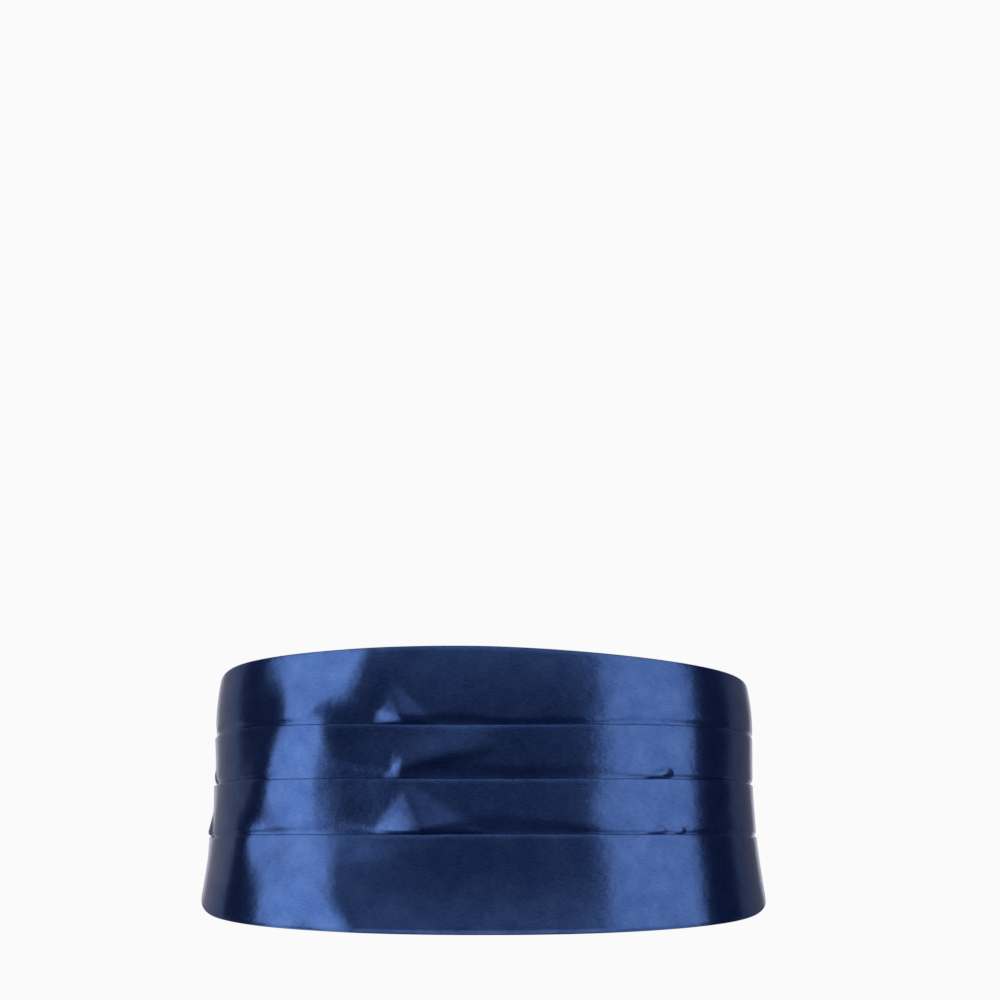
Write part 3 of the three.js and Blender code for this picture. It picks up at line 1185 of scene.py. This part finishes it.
@dataclass(frozen=True)
class Strap:
    """One strap: woven webbing that leaves its binding, goes through the clasp and back on itself."""

    panel: PleatedPanel
    side: Side
    width: float = 30.0
    cloth: float = 1.2
    clasp_inner: float = 1.7
    clasp_thickness: float = 2.0
    clasp_middle_half: float = 6.5
    clasp_slot: float = 3.6
    clasp_bar: float = 4.0
    returned: float = 16.0
    descent: float = 6.0
    corner: float = 0.25
    rest: float = 0.7  # from the waist to the strap's middle
    clasp_clearance: float = 0.3
    fold_gap: float = 0.25  # between the strap and its returned end
    binding_gap: float = 0.4
    settle: float = 14.0  # how far from its binding the strap lies on the waist
    seams: tuple[float, ...] = (2.5, 9.0)  # from the returned end to its stitches
    seam_end: float = 3.0  # from the strap's edges to its stitches

    def path(self) -> np.ndarray:
        """The strap's middle line, as places (along, out) from its binding to its sewn end.

        It leaves the middle of the binding, settles on the waist, rises through the clasp's slot
        in a half circle, and comes down onto itself.

        Returns:
            The line's points, as rows of two.
        """
        waist = self.panel.waist
        girth = waist.half_girth()
        inner, _, outer = self.panel.layers
        leave = (inner + outer) / 2
        low = self.rest
        high = self.clasp_inner + self.clasp_thickness + self.clasp_clearance + self.cloth / 2
        start = self.panel.half + self.binding_gap
        bar_start = self.clasp_middle_half + self.clasp_slot
        bar_end = bar_start + self.clasp_bar
        along = np.linspace(start, girth - bar_end, 30)
        out = mix(leave, low, ease(start + 1, start + self.settle, along))
        radius = (high - low) / 2
        angle = math.pi * np.linspace(-0.5, 0.5, 13)
        loop = np.stack([girth - bar_start + radius * np.cos(angle), low + radius * (1 + np.sin(angle))], -1)
        landed = low + self.cloth + self.fold_gap
        back = np.linspace(bar_end, bar_end + self.descent + self.returned, 16)
        down = mix(high, landed, ease(bar_end, bar_end + self.descent, back))
        tail = np.stack([girth - back, down], -1)
        return np.concatenate([np.stack([along, out], -1), loop, tail])

    def build(self, web: WebbingFinish, thread: ThreadFinish) -> list[bpy.types.Object]:
        """Makes the strap and the stitches that hold its end.

        The section is a flat rectangle with small round corners, carried along the path.

        Args:
            web: The webbing's finish.
            thread: The thread that it is sewn with.

        Returns:
            The strap and its stitches.
        """
        side = self.side.value
        name = self.side.name.lower()
        path = self.path()
        step = np.gradient(path, axis=0)
        step /= np.linalg.norm(step, axis=1, keepdims=True)
        across = np.stack([-step[:, 1], step[:, 0]], -1)
        half, thin, bend = self.width / 2, self.cloth / 2, self.corner
        quarter = np.linspace(0, math.pi / 2, 4)
        rim = []
        for turn, (up, off) in enumerate([(1, 1), (-1, 1), (-1, -1), (1, -1)]):
            angle = quarter + turn * math.pi / 2
            centre = np.array([up * (half - bend), off * (thin - bend)])
            rim.append(centre + bend * np.stack([np.cos(angle), np.sin(angle)], -1))
        face = np.linspace(half - bend, bend - half, 9)[1:-1]
        ring = np.concatenate(
            [
                rim[0],
                np.stack([face, np.full(7, thin)], -1),
                rim[1],
                rim[2],
                np.stack([-face, np.full(7, -thin)], -1),
                rim[3],
            ]
        )
        along = path[None, :, 0] + ring[:, 1, None] * across[None, :, 0]
        out = path[None, :, 1] + ring[:, 1, None] * across[None, :, 1]
        height = np.broadcast_to(ring[:, 0, None], along.shape)
        points = self.panel.waist.place(side * along, out, height)
        run = np.concatenate([[0], np.cumsum(np.linalg.norm(np.diff(path, axis=0), axis=1))])
        uv = np.stack([np.broadcast_to(run, along.shape), height], -1) * MM
        made = surface(f"strap_{name}_webbing", points, uv, closed=True)
        with reworked(made.data) as work:
            bmesh.ops.holes_fill(work, edges=[e for e in work.edges if e.is_boundary], sides=0)
        dress(made, "strap_web", web.material())
        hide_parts(f"strap_{name}")
        end = path[-1]
        face_out, reach = end[1] + self.cloth / 2, half - self.seam_end
        places = [side * (end[0] + back) for back in self.seams]
        lines = [np.array([[at, face_out, reach], [at, face_out, -reach]]) for at in places]
        sewn = Stitches().build(f"strap_{name}_stitches", self.panel.waist, lines)
        dress(sewn, "strap_web", thread.material())
        return [made, sewn]


@dataclass(frozen=True)
class Clasp:
    """The clasp: one stamped plate with a slot for each strap, its edges tumbled round."""

    edge_round: float = 0.5
    segments: int = 3
    sharp: float = 50.0  # degrees past which an edge is rounded

    def build(self, metal: NickelFinish) -> bpy.types.Object:
        """Makes the clasp from its solid, with rounded edges.

        Args:
            metal: The plate's finish.

        Returns:
            The clasp.
        """
        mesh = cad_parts["clasp"].data.copy()
        mesh.materials.clear()
        with reworked(mesh) as work:
            bmesh.ops.remove_doubles(work, verts=work.verts, dist=1e-6)
            bmesh.ops.dissolve_limit(work, angle_limit=math.radians(1), verts=work.verts, edges=work.edges)
        made = linked("clasp_plate", mesh)
        edge = made.modifiers.new("tumbled_edge", "BEVEL")
        edge.width = self.edge_round * MM
        edge.segments = self.segments
        edge.limit_method = "ANGLE"
        edge.angle_limit = math.radians(self.sharp)
        edge.harden_normals = False
        dress(made, "clasp_steel", metal.material())
        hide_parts("clasp")
        return made


@dataclass(frozen=True)
class Softbox:
    """A flat studio light that faces the cummerbund.

    Centre is in metres, width and height are its size, radiance is how bright its face is, and
    colour is an sRGB hex code.
    """

    name: str
    centre: tuple[float, float, float]
    width: float
    height: float
    radiance: float
    colour: str = "ffffff"

    def build(self) -> None:
        """Makes the light. Its power is its radiance times pi times its area."""
        light = bpy.data.lights.new(self.name, "AREA")
        light.shape = "RECTANGLE"
        light.size, light.size_y = self.width, self.height
        light.energy = self.radiance * math.pi * self.width * self.height
        light.color = linear(self.colour)[:3]
        made = linked(self.name, light)
        made.location = self.centre
        made.rotation_euler = (-Vector(self.centre)).to_track_quat("-Z", "Y").to_euler()
        made.visible_camera = False


@dataclass(frozen=True)
class Studio:
    """The pale floor, the soft lights and the camera."""

    softboxes: tuple[Softbox, ...] = (
        Softbox("softbox_right", (1.199, -0.847, 0.0), 1.24, 2.4, 1.25),
        Softbox("softbox_left", (-1.259, -0.662, 0.0), 1.018, 2.4, 1.7),
        Softbox("softbox_left_spill", (-0.983, -1.2, 0.0), 0.2, 2.4, 0.7),
        Softbox("panel_back_right", (1.25, 1.25, 0.1), 1.5, 2.4, 0.19, "fff0dc"),
        Softbox("panel_back_left", (-1.25, 1.25, 0.1), 1.5, 2.4, 0.36, "fff0dc"),
        Softbox("panel_back", (0.0, 2.0, 0.2), 1.8, 2.4, 0.8),
        Softbox("panel_high", (0.0, -2.1, 1.9), 3.0, 1.6, 1.1),
    )
    floor_level: float = -1.25  # below every softbox, so that none of them cuts it
    floor_size: float = 30.0
    floor_colour: str = "e9e8e6"
    floor_roughness: float = 0.8
    backdrop: str = "fafafa"
    room: str = "0d1a40"
    distance: float = 2.6
    sensor: float = 36.0
    focal: float = 180.0
    picture: float = 1000.0  # pixels across the picture
    rise: float = 290.0  # pixels that the origin lies below the picture's middle
    shift: float = 16.5  # pixels that it lies to the left of it

    def build(self) -> None:
        """Makes the floor, the world, the lights and the camera."""
        self._floor()
        self._world()
        for box in self.softboxes:
            box.build()
        self._camera()
        bpy.context.scene.view_settings.view_transform = "Standard"

    def _floor(self) -> None:
        """Makes the floor: rolled matt paint, which gives the eye an even ground with no glare."""
        half = self.floor_size / 2
        corners = np.array([[-half, -half], [half, -half], [half, half], [-half, half]])
        mesh = bpy.data.meshes.new("floor")
        level = np.full((4, 1), self.floor_level)
        mesh.from_pydata(np.hstack([corners, level]), [], [(0, 1, 2, 3)])
        made = linked("floor", mesh)
        painted = bpy.data.materials.new("floor_paint_rolled_matt")
        painted.use_nodes = True
        shader = painted.node_tree.nodes["Principled BSDF"]
        shader.inputs["Base Color"].default_value = linear(self.floor_colour)
        shader.inputs["Roughness"].default_value = self.floor_roughness
        mesh.materials.append(painted)
        made.visible_glossy = False

    def _world(self) -> None:
        """Makes the world: a pale backdrop that lights all evenly, and a dim room that gloss mirrors."""
        world = bpy.data.worlds.new("studio")
        bpy.context.scene.world = world
        world.use_nodes = True
        tree = world.node_tree
        tree.nodes.clear()
        seen = add_node(tree, "ShaderNodeBackground", {"Color": linear(self.backdrop), "Strength": 1.0}, {})
        room = add_node(tree, "ShaderNodeBackground", {"Color": linear(self.room), "Strength": 1.0}, {})
        path = add_node(tree, "ShaderNodeLightPath", {}, {})
        both = add_node(
            tree,
            "ShaderNodeMixShader",
            {},
            {0: path.outputs["Is Glossy Ray"], 1: seen.outputs["Background"], 2: room.outputs["Background"]},
        )
        add_node(tree, "ShaderNodeOutputWorld", {}, {"Surface": both.outputs["Shader"]})

    def _camera(self) -> None:
        """Makes the camera: level with the cummerbund, a long lens, tilted up a little."""
        lens = bpy.data.cameras.new("camera")
        lens.sensor_width = self.sensor
        lens.lens = self.focal
        pixel = self.sensor / self.focal / self.picture
        made = linked("camera", lens)
        made.location = (0, -self.distance, 0)
        made.rotation_euler = (math.pi / 2 + math.atan(self.rise * pixel), 0, -math.atan(self.shift * pixel))
        bpy.context.scene.camera = made


def main() -> None:
    logging.basicConfig(level=logging.INFO, format="%(name)s: %(message)s")
    waist = Waist()
    panel = PleatedPanel(waist)
    face = SatinFinish()
    inside = SatinFinish(
        name="navy_polyester_satin_wrong_side",
        yarn="2a3a63",
        shade="223156",
        metallic=0.2,
        roughness=0.6,
        anisotropy=0.3,
    )
    thread = ThreadFinish()
    pieces = [panel.build(face, inside)]
    for side in Side:
        pieces += EndBinding(panel, side).build(face, thread)
        pieces += Strap(panel, side).build(WebbingFinish(), thread)
    pieces.append(Clasp().build(NickelFinish()))
    for piece in pieces:
        log.info("%s: %d faces, %s", piece.name, len(piece.data.polygons), piece.data.materials[0].name)
    Studio().build()


if __name__ == "__main__":
    main()
